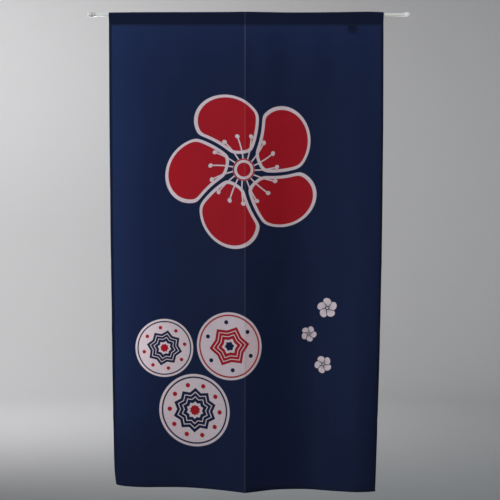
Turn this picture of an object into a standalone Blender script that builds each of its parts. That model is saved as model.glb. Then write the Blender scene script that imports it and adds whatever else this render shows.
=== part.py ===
"""A noren, the short curtain of a Japanese doorway, hanging on a thin white rod.

Lengths are in metres unless a name or a comment says millimetres. +Z is up, +X is to the viewer's
right and +Y runs away from the viewer. The origin is on the rod's axis, halfway along the rod.

The curtain is one piece of cloth. Its top is turned over the rod and sewn down behind as a pocket,
its sides and its bottom are turned to the back as narrow hems, and a crease is pressed down its
middle. It hangs straight at the pocket, and its folds grow from there down to the hem.
"""

from collections import namedtuple
import math

import bmesh
import bpy
import numpy as np

MM = 0.001

# Gap between two pieces that touch.
SEAT_GAP = 0.3 * MM

# The rod, over its two caps, and the caps that close its ends.
ROD_LENGTH = 997 * MM
ROD_RADIUS = 6 * MM
ROD_SIDES = 32
CAP_RADIUS = 7.25 * MM
CAP_LENGTH = 20 * MM
CAP_END_WALL = 2 * MM
CAP_ROUNDING = 1.2 * MM
CAP_RIM_CHAMFER = 0.3 * MM

# The cloth as it is sewn: its width laid flat, and its height from the top of the pocket to a
# level hem.
CLOTH_WIDTH = 850 * MM
CLOTH_HEIGHT = 1473.5 * MM
CLOTH_THICKNESS = 1.2 * MM
CLOTH_CENTRE_X = -9 * MM
CREASE_FROM_CENTRE = -3.5 * MM
SIDE_HEM = 9 * MM
BOTTOM_HEM = 12 * MM
HEM_EXTRA_THICKNESS = 0.8 * MM
HEM_STEP = 0.6 * MM

# The pocket that the rod runs through. It bends over the rod in flats, each of which covers twice
# the half angle.
POCKET_HEIGHT = 40 * MM
POCKET_SEAM = 3 * MM
POCKET_FLATS = 12
POCKET_FLAT_HALF_ANGLE = math.radians(8.6)
POCKET_SIDE_STEPS = 2

# The care label sewn in under the back of the pocket.
LABEL_WIDTH = 30 * MM
LABEL_HEIGHT = 22 * MM
LABEL_THICKNESS = 1 * MM
LABEL_CENTRE_X = 320 * MM

# The folds where they meet the hem, in millimetres: the distance along the cloth from the crease,
# the distance in front of the rod's axis, and how much lower than level the hem hangs.
Fold = namedtuple("Fold", "along forward lower")
FOLDS_LEFT_OF_CREASE = (
    Fold(along=-421.5, forward=-37.0, lower=-2.5),
    Fold(along=-379.0, forward=-26.5, lower=-0.5),
    Fold(along=-335.0, forward=-19.0, lower=0.0),
    Fold(along=-270.0, forward=-19.5, lower=0.0),
    Fold(along=-199.0, forward=-15.0, lower=0.0),
    Fold(along=-131.0, forward=-1.0, lower=1.0),
    Fold(along=-72.0, forward=17.5, lower=2.5),
    Fold(along=-22.0, forward=36.0, lower=4.0),
    Fold(along=0.0, forward=44.0, lower=4.5),
)
FOLDS_RIGHT_OF_CREASE = (
    Fold(along=0.0, forward=44.0, lower=4.5),
    Fold(along=28.0, forward=33.5, lower=4.5),
    Fold(along=61.0, forward=16.0, lower=5.0),
    Fold(along=95.0, forward=-2.5, lower=5.5),
    Fold(along=126.0, forward=-15.0, lower=6.0),
    Fold(along=160.0, forward=-22.0, lower=6.5),
    Fold(along=208.0, forward=-20.5, lower=6.5),
    Fold(along=260.0, forward=-1.5, lower=6.0),
    Fold(along=315.0, forward=19.0, lower=5.5),
    Fold(along=366.0, forward=32.0, lower=5.0),
    Fold(along=400.0, forward=27.0, lower=5.0),
    Fold(along=428.5, forward=17.0, lower=5.0),
)

# The folds grow with the height below the seam to this power, from the crease leftwards and at the
# right edge.
GROWTH = 1.0
GROWTH_AT_RIGHT_EDGE = 0.85

# The lower left corner curls back towards the wall.
CORNER_CURL = 12 * MM
CORNER_CURL_ACROSS = 24 * MM
CORNER_CURL_UP = 45 * MM

# The pressed crease down the middle: a sharp ridge with soft flanks that starts below the pocket.
CREASE_RIDGE = 2.5 * MM
CREASE_FLANK = 20 * MM
CREASE_START = 60 * MM

# The creases across the cloth, from the way it was folded in its packet, in millimetres: the
# distance below the rod's axis, and how far the crease stands forward on each side of the middle.
# The cloth was first folded down its middle, so each one turns over there.
CrossCrease = namedtuple("CrossCrease", "below_rod left right")
CROSS_CREASES = (
    CrossCrease(below_rod=270, left=0.6, right=-0.6),
    CrossCrease(below_rod=549, left=-0.8, right=0.8),
    CrossCrease(below_rod=762, left=-1.2, right=1.2),
    CrossCrease(below_rod=976, left=1.4, right=-1.4),
    CrossCrease(below_rod=1249, left=1.4, right=-1.4),
)
CROSS_CREASE_FLANK = 12 * MM
CROSS_CREASE_TURN = 15 * MM

# The longest side of one facet of the cloth, across and down.
FACET_WIDTH = 34 * MM
FACET_HEIGHT = 115 * MM

# Worked out from the sizes above.
POCKET_INNER_RADIUS = (ROD_RADIUS + SEAT_GAP) / math.cos(POCKET_FLAT_HALF_ANGLE)
POCKET_OUTER_RADIUS = POCKET_INNER_RADIUS + CLOTH_THICKNESS
CLOTH_TOP = POCKET_OUTER_RADIUS
SEAM_Z = CLOTH_TOP - POCKET_HEIGHT
HANGING_HEIGHT = CLOTH_HEIGHT - POCKET_HEIGHT
CREASE_X = CLOTH_CENTRE_X + CREASE_FROM_CENTRE
LEFT_EDGE = -CLOTH_WIDTH / 2 - CREASE_FROM_CENTRE
RIGHT_EDGE = CLOTH_WIDTH / 2 - CREASE_FROM_CENTRE


def clear_scene():
    for old in list(bpy.data.objects):
        bpy.data.objects.remove(old, do_unlink=True)


def make_material(name, colour, roughness, metallic=0.0):
    material = bpy.data.materials.new(name)
    material.use_nodes = True
    shader = material.node_tree.nodes["Principled BSDF"]
    shader.inputs["Base Color"].default_value = (*colour, 1.0)
    shader.inputs["Roughness"].default_value = roughness
    shader.inputs["Metallic"].default_value = metallic
    return material


def add_object(name, mesh, material, parent):
    mesh.materials.append(material)
    made = bpy.data.objects.new(name, mesh)
    made.parent = parent
    bpy.context.scene.collection.objects.link(made)
    return made


def smooth_through(places, values, at):
    """The smooth curve through the given values: a cubic between each two places, whose slope at
    a place is that of the parabola through it and its neighbours."""
    slopes = np.gradient(values, places, edge_order=2)
    i = np.clip(np.searchsorted(places, at) - 1, 0, len(places) - 2)
    span = places[i + 1] - places[i]
    t = (at - places[i]) / span
    start = (2 * t**3 - 3 * t**2 + 1) * values[i] + (t**3 - 2 * t**2 + t) * span * slopes[i]
    end = (3 * t**2 - 2 * t**3) * values[i + 1] + (t**3 - t**2) * span * slopes[i + 1]
    return start + end


def at_hem(along, column):
    """One column of the fold tables, as a length in metres at each distance along the cloth."""
    sides = []
    for folds in (FOLDS_LEFT_OF_CREASE, FOLDS_RIGHT_OF_CREASE):
        places = np.array([fold.along for fold in folds]) * MM
        values = np.array([getattr(fold, column) for fold in folds]) * MM
        sides.append(smooth_through(places, values, along))
    return np.where(along < 0, sides[0], sides[1])


def cloth_forward(along, below_seam):
    """How far the cloth stands in front of the rod's axis: the folds, which grow from the pocket's
    seam to the hem, the curled corner, the pressed crease, and the creases across the cloth."""
    rightwards = np.clip(along / RIGHT_EDGE, 0, 1)
    growth = GROWTH + (GROWTH_AT_RIGHT_EDGE - GROWTH) * rightwards
    folds = (below_seam / HANGING_HEIGHT) ** growth * at_hem(along, "forward")
    ridge = CREASE_RIDGE * np.exp(-np.abs(along) / CREASE_FLANK)
    forward = folds + ridge * (1 - np.exp(-below_seam / CREASE_START))
    from_edge = (along - LEFT_EDGE) / CORNER_CURL_ACROSS
    from_hem = (HANGING_HEIGHT - below_seam) / CORNER_CURL_UP
    forward = forward - CORNER_CURL * np.exp(-from_edge - from_hem)
    rightness = (1 + np.tanh(along / CROSS_CREASE_TURN)) / 2
    for crease in CROSS_CREASES:
        height = (crease.left + (crease.right - crease.left) * rightness) * MM
        distance = np.abs(below_seam - crease.below_rod * MM - SEAM_Z)
        forward = forward + height * np.exp(-distance / CROSS_CREASE_FLANK)
    return forward


def hung_cloth(along, below_seam):
    """The middle of the hanging sheet, a grid with a row for each height and a column for each
    distance along the cloth. Each strip between two columns keeps its flat width, so the folds
    draw the edges in."""
    across, down = np.meshgrid(along, below_seam)
    forward = cloth_forward(across, down)
    steps = np.sqrt(np.diff(across, axis=1) ** 2 - np.diff(forward, axis=1) ** 2)
    run = np.concatenate([np.zeros((len(below_seam), 1)), np.cumsum(steps, axis=1)], axis=1)
    crease_column = int(np.argmin(np.abs(along)))
    x = CREASE_X + run - run[:, crease_column : crease_column + 1]
    lower = down / HANGING_HEIGHT * at_hem(across, "lower")
    return np.stack([x, -forward, SEAM_Z - down - lower], axis=-1)


def towards_viewer(grid):
    """The unit normal of a grid of points, on the viewer's side."""
    across = np.gradient(grid, axis=1)
    down = np.gradient(grid, axis=0)
    normal = np.cross(down, across)
    return normal / np.linalg.norm(normal, axis=-1, keepdims=True)


def spread(marks, longest):
    """The marks in order, with even steps no longer than the given length between them."""
    ordered = sorted(marks)
    places = [ordered[0]]
    for start, end in zip(ordered, ordered[1:]):
        steps = math.ceil((end - start) / longest - 1e-6)
        places.extend(start + (end - start) * i / steps for i in range(1, steps + 1))
    return np.array(places)


def cloth_columns():
    marks = [fold.along * MM for fold in FOLDS_LEFT_OF_CREASE + FOLDS_RIGHT_OF_CREASE[1:]]
    marks += [-CREASE_FLANK / 2, CREASE_FLANK / 2]
    marks += [LEFT_EDGE + SIDE_HEM, LEFT_EDGE + SIDE_HEM + HEM_STEP]
    marks += [RIGHT_EDGE - SIDE_HEM, RIGHT_EDGE - SIDE_HEM - HEM_STEP]
    return spread(marks, FACET_WIDTH)


def cloth_rungs():
    marks = [0.0, HANGING_HEIGHT]
    marks += [HANGING_HEIGHT - BOTTOM_HEM, HANGING_HEIGHT - BOTTOM_HEM - HEM_STEP]
    marks += [HANGING_HEIGHT - CORNER_CURL_UP]
    for crease in CROSS_CREASES:
        middle = crease.below_rod * MM + SEAM_Z
        marks += [middle - CROSS_CREASE_FLANK, middle, middle + CROSS_CREASE_FLANK]
    return spread(marks, FACET_HEIGHT)


def tangent_angle(radius, y, z):
    """The angle round the rod, from +Y towards +Z, of the point where a line from the given point
    touches a circle round the rod's axis on the +Y side."""
    return math.atan2(z, y) + math.acos(radius / math.hypot(y, z))


def pocket_section(radius, front_foot, back_foot):
    """One wall of the pocket in a plane across the rod, as points (y, z) from a foot in front, up
    to the rod, over it and down to a foot behind. The feet are given as (y, z) and left out."""
    back_angle = tangent_angle(radius, *back_foot)
    front_angle = math.pi - tangent_angle(radius, -front_foot[0], front_foot[1])
    turns = np.linspace(front_angle, back_angle, POCKET_FLATS + 1)
    arc = [(radius * math.cos(turn), radius * math.sin(turn)) for turn in turns]
    shares = [i / POCKET_SIDE_STEPS for i in range(1, POCKET_SIDE_STEPS)]
    front = [mix(front_foot, arc[0], share) for share in shares]
    back = [mix(arc[-1], back_foot, share) for share in shares]
    return np.array(front + arc + back)


def mix(start, end, share):
    return tuple(a + (b - a) * share for a, b in zip(start, end))


def along_x(section, x):
    """A section (y, z) repeated at each x, as an array with a row for each point."""
    points = np.empty((len(section), len(x), 3))
    points[..., 0] = x
    points[..., 1:] = section[:, None, :]
    return points


def cloth_mesh():
    """The closed sheet. Its outer skin runs from the hem up the front, over the rod, down the back
    of the pocket and down the back to the hem. Its inner skin is the tunnel that the rod is in."""
    along, below_seam = cloth_columns(), cloth_rungs()
    middle = hung_cloth(along, below_seam)
    normal = towards_viewer(middle)
    normal[0] = (0, -1, 0)
    side_hem = (along <= LEFT_EDGE + SIDE_HEM) | (along >= RIGHT_EDGE - SIDE_HEM)
    bottom_hem = below_seam >= HANGING_HEIGHT - BOTTOM_HEM
    hemmed = (side_hem[None, :] | bottom_hem[:, None]) & (below_seam > 0)[:, None]
    half = CLOTH_THICKNESS / 2
    front = middle + normal * half
    back = middle - normal * (half + HEM_EXTRA_THICKNESS * hemmed)[..., None]

    x = middle[0, :, 0]
    back_edge = (half + CLOTH_THICKNESS, SEAM_Z)
    tunnel_foot = (half, SEAM_Z + POCKET_SEAM)
    outer = pocket_section(POCKET_OUTER_RADIUS, (-half, SEAM_Z), back_edge)
    inner = pocket_section(POCKET_INNER_RADIUS, tunnel_foot, tunnel_foot)
    edge = along_x(np.array([back_edge]), x)
    skin = np.concatenate([front[::-1], along_x(outer, x), edge, back])
    tunnel = along_x(np.concatenate([[tunnel_foot], inner]), x)

    columns, rungs = len(x), len(below_seam)
    skin_rows, tunnel_rows = len(skin), len(tunnel)
    skin_at = np.arange(skin_rows * columns).reshape(skin_rows, columns)
    tunnel_at = skin_rows * columns + np.arange(tunnel_rows * columns).reshape(tunnel_rows, columns)
    faces = wrap(skin_at) + wrap(tunnel_at[::-1])
    for column, turned in ((0, False), (columns - 1, True)):
        faces += side_edge(skin_at[:, column], tunnel_at[:, column], rungs, turned)
    mesh = bpy.data.meshes.new("curtain_cloth")
    mesh.from_pydata(np.concatenate([skin, tunnel]).reshape(-1, 3).tolist(), [], faces)
    return mesh


def wrap(rows):
    """Quads between each two neighbouring columns of a closed skin, all the way round it."""
    following = np.roll(rows, -1, axis=0)
    quads = np.stack([rows[:, :-1], rows[:, 1:], following[:, 1:], following[:, :-1]], axis=-1)
    return quads.reshape(-1, 4).tolist()


def side_edge(skin, tunnel, rungs, turned):
    """The faces that close the sheet at one side edge, between its front and its back, and round
    the mouth of the tunnel. They face -X, or +X where turned."""
    front, pocket, back = skin[:rungs], skin[rungs:-rungs], skin[: -rungs - 1 : -1]
    outer = [front[-1], *pocket]
    inner = [*tunnel, tunnel[0]]
    faces = [(front[i], front[i + 1], back[i + 1], back[i]) for i in range(rungs - 1)]
    faces.append((front[-1], tunnel[0], back[-1]))
    faces.append((back[-1], tunnel[0], pocket[-1]))
    for i in range(len(outer) - 1):
        faces.append((outer[i], outer[i + 1], inner[i + 1], inner[i]))
    faces = [tuple(int(corner) for corner in face) for face in faces]
    return [face[::-1] for face in faces] if turned else faces


def label_mesh():
    """The blank label, a thin slab that hangs just behind the cloth and follows it."""
    x = np.linspace(LABEL_CENTRE_X - LABEL_WIDTH / 2, LABEL_CENTRE_X + LABEL_WIDTH / 2, 5)
    below_seam = np.linspace(SEAT_GAP, SEAT_GAP + LABEL_HEIGHT, 4)
    across, down = np.meshgrid(x, below_seam)
    y = CLOTH_THICKNESS / 2 + SEAT_GAP - cloth_forward(across - CREASE_X, down)
    front = np.stack([across, y, SEAM_Z - down], axis=-1)
    back = front + (0, LABEL_THICKNESS, 0)
    mesh = bpy.data.meshes.new("care_label")
    shell = bmesh.new()
    grids = []
    for grid in (front, back):
        grids.append([[shell.verts.new(point) for point in row] for row in grid])
    for grid in grids:
        for upper, under in zip(grid, grid[1:]):
            for i in range(len(upper) - 1):
                shell.faces.new((upper[i], under[i], under[i + 1], upper[i + 1]))
    rims = [rim_of(grid) for grid in grids]
    for i in range(len(rims[0])):
        shell.faces.new((rims[0][i - 1], rims[0][i], rims[1][i], rims[1][i - 1]))
    bmesh.ops.recalc_face_normals(shell, faces=shell.faces)
    shell.to_mesh(mesh)
    shell.free()
    return mesh


def rim_of(grid):
    """The outer corners of a grid of vertices, in order round it."""
    right = [row[-1] for row in grid[1:-1]]
    left = [row[0] for row in grid[1:-1]]
    return grid[0] + right + grid[-1][::-1] + left[::-1]


def turned_mesh(name, profile):
    """A closed shape turned round +Z from a profile of (radius, z) that starts and ends on it."""
    mesh = bpy.data.meshes.new(name)
    shape = bmesh.new()
    verts = [shape.verts.new((radius, 0, z)) for radius, z in profile]
    edges = [shape.edges.new(pair) for pair in zip(verts, verts[1:])]
    bmesh.ops.spin(
        shape,
        geom=verts + edges,
        cent=(0, 0, 0),
        axis=(0, 0, 1),
        angle=math.tau,
        steps=ROD_SIDES,
        use_merge=True,
    )
    bmesh.ops.remove_doubles(shape, verts=shape.verts, dist=0.001 * MM)
    bmesh.ops.recalc_face_normals(shape, faces=shape.faces)
    shape.to_mesh(mesh)
    shape.free()
    mesh.shade_smooth()
    mesh.set_sharp_from_angle(angle=math.radians(30))
    return mesh


def rod_mesh():
    half = ROD_LENGTH / 2 - CAP_END_WALL - SEAT_GAP
    return turned_mesh("rod", [(0, -half), (ROD_RADIUS, -half), (ROD_RADIUS, half), (0, half)])


def cap_mesh():
    """A cup that slips over the rod's end. Its closed end faces +Z and its rim is at z = 0."""
    bore = ROD_RADIUS + SEAT_GAP
    bottom = CAP_LENGTH - CAP_END_WALL
    turns = [math.pi / 2 * i / 4 for i in range(5)]
    rounding = [
        (
            CAP_RADIUS - CAP_ROUNDING * (1 - math.sin(turn)),
            CAP_LENGTH - CAP_ROUNDING * (1 - math.cos(turn)),
        )
        for turn in turns
    ]
    rim = [(CAP_RADIUS, CAP_RIM_CHAMFER), (CAP_RADIUS - CAP_RIM_CHAMFER, 0), (bore, 0)]
    return turned_mesh("rod_cap", [(0, CAP_LENGTH), *rounding, *rim, (bore, bottom), (0, bottom)])


def add_curtain(parent):
    navy = make_material("navy_cloth", (0.016, 0.024, 0.070), 0.75)
    add_object("curtain_cloth", cloth_mesh(), navy, parent)
    white = make_material("white_label", (0.72, 0.72, 0.70), 0.8)
    add_object("care_label", label_mesh(), white, parent)


def add_rod(parent):
    enamel = make_material("white_enamel", (0.80, 0.80, 0.78), 0.35)
    rod = add_object("rod", rod_mesh(), enamel, parent)
    rod.rotation_euler = (0, math.pi / 2, 0)
    shared = cap_mesh()
    for side, sign in (("left", -1), ("right", 1)):
        plastic = make_material(f"white_cap_{side}", (0.82, 0.82, 0.80), 0.45)
        cap = add_object(f"rod_cap_{side}", shared.copy(), plastic, parent)
        cap.location = (sign * (ROD_LENGTH / 2 - CAP_LENGTH), 0, 0)
        cap.rotation_euler = (0, sign * math.pi / 2, 0)


def main():
    clear_scene()
    curtain_on_rod = bpy.data.objects.new("curtain_on_rod", None)
    bpy.context.scene.collection.objects.link(curtain_on_rod)
    add_rod(curtain_on_rod)
    add_curtain(curtain_on_rod)


main()
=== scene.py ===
"""The finish of a noren on its rod: thin printed cloth with real folds, its stitching and label, the
rod with its caps, and a plain studio.

Lengths are in metres. +Z is up, +X is to the viewer's right, +Y runs away from the viewer, and the
origin is on the rod's axis, halfway along the rod. A place on the cloth is given by its distance
along the cloth from the pressed crease, to the right, and its distance below the pocket's seam.
"""

from collections import namedtuple
import math

import bpy
import numpy as np
from bpy.props import FloatProperty, FloatVectorProperty, IntProperty, PointerProperty
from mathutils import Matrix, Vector


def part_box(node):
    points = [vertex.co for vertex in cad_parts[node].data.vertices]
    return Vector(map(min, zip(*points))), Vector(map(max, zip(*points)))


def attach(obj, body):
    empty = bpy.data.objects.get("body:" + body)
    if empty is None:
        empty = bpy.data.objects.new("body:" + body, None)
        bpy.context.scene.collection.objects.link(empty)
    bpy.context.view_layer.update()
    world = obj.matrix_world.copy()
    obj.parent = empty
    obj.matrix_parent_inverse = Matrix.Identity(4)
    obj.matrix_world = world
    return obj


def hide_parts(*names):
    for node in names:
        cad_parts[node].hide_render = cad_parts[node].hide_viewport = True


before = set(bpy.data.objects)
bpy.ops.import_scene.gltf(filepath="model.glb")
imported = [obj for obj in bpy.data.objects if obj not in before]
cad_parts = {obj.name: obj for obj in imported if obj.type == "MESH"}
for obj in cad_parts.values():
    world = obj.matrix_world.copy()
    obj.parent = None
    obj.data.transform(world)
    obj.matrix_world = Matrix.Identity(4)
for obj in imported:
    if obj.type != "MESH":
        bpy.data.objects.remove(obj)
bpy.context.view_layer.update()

bl_info = {
    "name": "Noren on a rod",
    "version": (1, 0, 0),
    "blender": (4, 5, 0),
    "location": "3D View > Sidebar > Noren",
    "description": "Builds a printed doorway curtain, its stitching and label, its rod and a studio",
    "category": "Object",
}

MM = 0.001
BODY = "root"
FLAT_MAP = "Flat"

# What the frame gives: the outer sizes of the cloth, the rod, a cap and the label.
CLOTH_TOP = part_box("curtain_cloth")[1][2]
ROD_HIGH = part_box("rod")[1]
CAP_LOW, CAP_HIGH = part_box("rod_cap_right")
LABEL_LOW, LABEL_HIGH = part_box("care_label")
ROD_RADIUS = ROD_HIGH[2]

# How the cloth is sewn and folded, as in the frame.
CREASE_X = -12.5 * MM
LEFT_EDGE = -421.5 * MM
RIGHT_EDGE = 428.5 * MM
POCKET_HEIGHT = 40 * MM
POCKET_LAP = 3 * MM
SEAM_Z = CLOTH_TOP - POCKET_HEIGHT
HANGING_HEIGHT = 1433.5 * MM

# The folds where they meet the hem, in millimetres: the distance along the cloth from the crease,
# the distance in front of the rod's axis, and how much lower than level the hem hangs.
Fold = namedtuple("Fold", "along forward lower")
FOLDS_LEFT_OF_CREASE = (
    Fold(along=-421.5, forward=-37.0, lower=-2.5),
    Fold(along=-379.0, forward=-26.5, lower=-0.5),
    Fold(along=-335.0, forward=-19.0, lower=0.0),
    Fold(along=-270.0, forward=-19.5, lower=0.0),
    Fold(along=-199.0, forward=-15.0, lower=0.0),
    Fold(along=-131.0, forward=-1.0, lower=1.0),
    Fold(along=-72.0, forward=17.5, lower=2.5),
    Fold(along=-22.0, forward=36.0, lower=4.0),
    Fold(along=0.0, forward=44.0, lower=4.5),
)
FOLDS_RIGHT_OF_CREASE = (
    Fold(along=0.0, forward=44.0, lower=4.5),
    Fold(along=28.0, forward=33.5, lower=4.5),
    Fold(along=61.0, forward=16.0, lower=5.0),
    Fold(along=95.0, forward=-2.5, lower=5.5),
    Fold(along=126.0, forward=-15.0, lower=6.0),
    Fold(along=160.0, forward=-22.0, lower=6.5),
    Fold(along=208.0, forward=-20.5, lower=6.5),
    Fold(along=260.0, forward=-1.5, lower=6.0),
    Fold(along=315.0, forward=19.0, lower=5.5),
    Fold(along=366.0, forward=32.0, lower=5.0),
    Fold(along=400.0, forward=27.0, lower=5.0),
    Fold(along=428.5, forward=17.0, lower=5.0),
)
GROWTH = 1.0
GROWTH_AT_RIGHT_EDGE = 0.85

# The lower left corner curls back towards the wall.
CORNER_CURL = 12 * MM
CORNER_CURL_ACROSS = 24 * MM
CORNER_CURL_UP = 45 * MM

# The pressed crease down the middle.
CREASE_RIDGE = 2.5 * MM
CREASE_FLANK = 20 * MM
CREASE_START = 60 * MM

# The creases across the cloth, in millimetres: the distance below the rod's axis, and how far each
# stands forward on the left and on the right of the middle.
CrossCrease = namedtuple("CrossCrease", "below_rod left right")
CROSS_CREASES = (
    CrossCrease(below_rod=270, left=0.6, right=-0.6),
    CrossCrease(below_rod=549, left=-0.8, right=0.8),
    CrossCrease(below_rod=762, left=-1.2, right=1.2),
    CrossCrease(below_rod=976, left=1.4, right=-1.4),
    CrossCrease(below_rod=1249, left=1.4, right=-1.4),
)
CROSS_CREASE_FLANK = 12 * MM
CROSS_CREASE_TURN = 15 * MM

# Soft troughs and ridges under the pocket, in millimetres: the place along the cloth, the half
# width, the distance of the middle below the seam, the reach up and down, and the height forward.
Ripple = namedtuple("Ripple", "along half_width below reach forward")
RIPPLES = (
    Ripple(along=-372, half_width=34, below=90, reach=150, forward=1.2),
    Ripple(along=-300, half_width=40, below=60, reach=120, forward=-0.8),
    Ripple(along=-205, half_width=46, below=110, reach=170, forward=0.7),
    Ripple(along=-96, half_width=40, below=80, reach=140, forward=-0.9),
    Ripple(along=58, half_width=26, below=130, reach=150, forward=1.3),
    Ripple(along=128, half_width=34, below=140, reach=170, forward=-2.2),
    Ripple(along=206, half_width=34, below=120, reach=160, forward=1.2),
    Ripple(along=262, half_width=26, below=110, reach=150, forward=-1.2),
    Ripple(along=340, half_width=36, below=130, reach=170, forward=1.7),
    Ripple(along=398, half_width=24, below=120, reach=150, forward=-1.0),
    Ripple(along=-345, half_width=48, below=820, reach=560, forward=2.4),
    Ripple(along=-225, half_width=62, below=820, reach=560, forward=-2.6),
    Ripple(along=292, half_width=60, below=900, reach=650, forward=-3.4),
    Ripple(along=430, half_width=46, below=900, reach=650, forward=5.0),
)

# How far the pocket stands up off the rod, in millimetres, at places along the rod.
Lift = namedtuple("Lift", "x up")
POCKET_LIFTS = (
    Lift(x=-434, up=0.0),
    Lift(x=-353, up=0.9),
    Lift(x=-155, up=1.5),
    Lift(x=-60, up=2.1),
    Lift(x=-12, up=2.7),
    Lift(x=46, up=1.7),
    Lift(x=120, up=0.5),
    Lift(x=195, up=0.5),
    Lift(x=294, up=1.6),
    Lift(x=385, up=2.5),
    Lift(x=416, up=1.0),
)

# Faint waves of the whole cloth: how many, their height, their lengths and how far they slant. They
# and all that is soft fade out over a short way at the seam.
WAVES = 14
WAVE_HEIGHT = 0.16 * MM
WAVE_LENGTHS = (90, 260)
WAVE_SLANT = 0.5
SEAM_FADE = 12 * MM

# Just under the seam the cloth springs forward before it hangs straight.
SEAM_SPRING = 2.6 * MM
SEAM_SPRING_REACH = 14 * MM

Light = namedtuple("Light", "name place target size spread power colour")
WHITE, COOL, WARM = (1.0, 1.0, 1.0), (0.82, 0.94, 1.0), (1.0, 0.86, 0.74)

# The plum blossoms of the print, in millimetres: the middle's place along the cloth and below the
# seam, the radius, the turn in degrees and the swirl in degrees from the middle to the rim.
Blossom = namedtuple("Blossom", "along below radius turn swirl")
LARGE_BLOSSOM = Blossom(along=-4, below=447, radius=246, turn=-90, swirl=26)
SMALL_BLOSSOMS = (
    Blossom(along=262, below=872, radius=31, turn=-70, swirl=26),
    Blossom(along=206, below=952, radius=24, turn=-115, swirl=26),
    Blossom(along=252, below=1046, radius=27, turn=-20, swirl=26),
)

# The thread balls of the print, in millimetres and degrees, with the colours of their two threads.
Ball = namedtuple("Ball", "along below radius turn points main accent")
THREAD_BALLS = (
    Ball(along=-256, below=1000, radius=90, turn=12, points=8, main="navy", accent="red"),
    Ball(along=-50, below=990, radius=104, turn=-8, points=6, main="red", accent="navy"),
    Ball(along=-162, below=1192, radius=112, turn=20, points=10, main="navy", accent="red"),
)


def length_setting(name, description, default):
    """A length that a user may change, in metres."""
    return FloatProperty(name=name, description=description, default=default, unit="LENGTH")


def power_setting(name, description, default):
    """A light's power that a user may change, in watts."""
    return FloatProperty(name=name, description=description, default=default, unit="POWER")


def colour_setting(name, description, default):
    """A colour that a user may change, in linear light."""
    return FloatVectorProperty(name=name, description=description, subtype="COLOR", default=default)


class ClothSettings(bpy.types.PropertyGroup):
    """Sizes and colours of the printed cloth."""

    thickness: length_setting("Thickness", "Thickness of the cloth", 0.25 * MM)
    side_hem: length_setting("Side hem", "Width turned back at each side", 9 * MM)
    bottom_hem: length_setting("Bottom hem", "Height turned up behind", 12 * MM)
    column_step: length_setting("Column step", "Widest facet of the cloth", 7 * MM)
    row_step: length_setting("Row step", "Tallest facet of the cloth", 9 * MM)
    weave_pitch: length_setting("Weave pitch", "Distance between threads", 0.9 * MM)
    navy: colour_setting("Navy", "Ground colour", (0.0070, 0.0150, 0.0550))
    red: colour_setting("Red", "Printed red", (0.41, 0.0080, 0.0190))
    white: colour_setting("White", "Printed white", (0.74, 0.62, 0.68))
    outline: length_setting("Outline", "Width of the pale outline", 9.5 * MM)
    gap: length_setting("Petal gap", "Width of the gap between petals", 11 * MM)
    sheerness: FloatProperty(
        name="Sheerness", description="Share of light let through", default=0.42, subtype="FACTOR"
    )


class StitchSettings(bpy.types.PropertyGroup):
    """Sizes and colour of the sewing thread."""

    length: length_setting("Stitch length", "Length of one stitch", 2.7 * MM)
    pitch: length_setting("Stitch pitch", "Distance between stitches", 3.4 * MM)
    thread: length_setting("Thread", "Diameter of the thread", 0.36 * MM)
    from_edge: length_setting("From the edge", "Seam to the hem's inner edge", 1.5 * MM)
    colour: colour_setting("Colour", "Colour of the thread", (0.026, 0.042, 0.11))


class RodSettings(bpy.types.PropertyGroup):
    """Sizes and colours of the rod and its caps."""

    sides: IntProperty(name="Sides", description="Sides of the rod and the caps", default=64, min=12)
    tube_wall: length_setting("Tube wall", "Thickness of the rod's wall", 0.6 * MM)
    cap_end: length_setting("Cap end", "Thickness of a cap's closed end", 2 * MM)
    cap_rounding: length_setting("Cap rounding", "Radius of a cap's outer edge", 1.2 * MM)
    enamel: colour_setting("Enamel", "Colour of the rod", (0.88, 0.88, 0.87))
    plastic: colour_setting("Plastic", "Colour of the caps", (0.88, 0.88, 0.87))


class StudioSettings(bpy.types.PropertyGroup):
    """The studio: its size, its lights and the camera's distance."""

    floor_z: length_setting("Floor", "Height of the floor", -2.0)
    wall_distance: length_setting("Wall distance", "From the rod to the backdrop", 8.0)
    camera_distance: length_setting("Camera distance", "From the camera to the rod", 3.5)
    key_power: power_setting("Key light", "Power of the light at the left", 76.0)
    fill_power: power_setting("Fill light", "Power of the light in front", 55.0)
    above_power: power_setting("Light above", "Power of the strip behind the rod", 1.2)
    left_power: power_setting("Light left", "Power of the strip behind the left edge", 3.1)
    right_power: power_setting("Light right", "Power of the strip behind the right edge", 0.9)
    wash_power: power_setting("Backdrop light", "Power of the light on the backdrop", 170.0)
    sky: FloatProperty(
        name="Sky", description="Brightness of the sky over the studio", default=0.02, min=0.0
    )
    shade: colour_setting("Backdrop", "Colour of the backdrop", (0.62, 0.62, 0.63))


# Meshes from grids


def grid_faces(rows, columns):
    """The corners of the quads between each two neighbouring rows and columns of a grid of points,
    counter-clockwise where rows run down and columns run to the right."""
    index = np.arange(rows * columns).reshape(rows, columns)
    corners = (index[:-1, :-1], index[1:, :-1], index[1:, 1:], index[:-1, 1:])
    return np.stack(corners, axis=-1).reshape(-1, 4)


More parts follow.
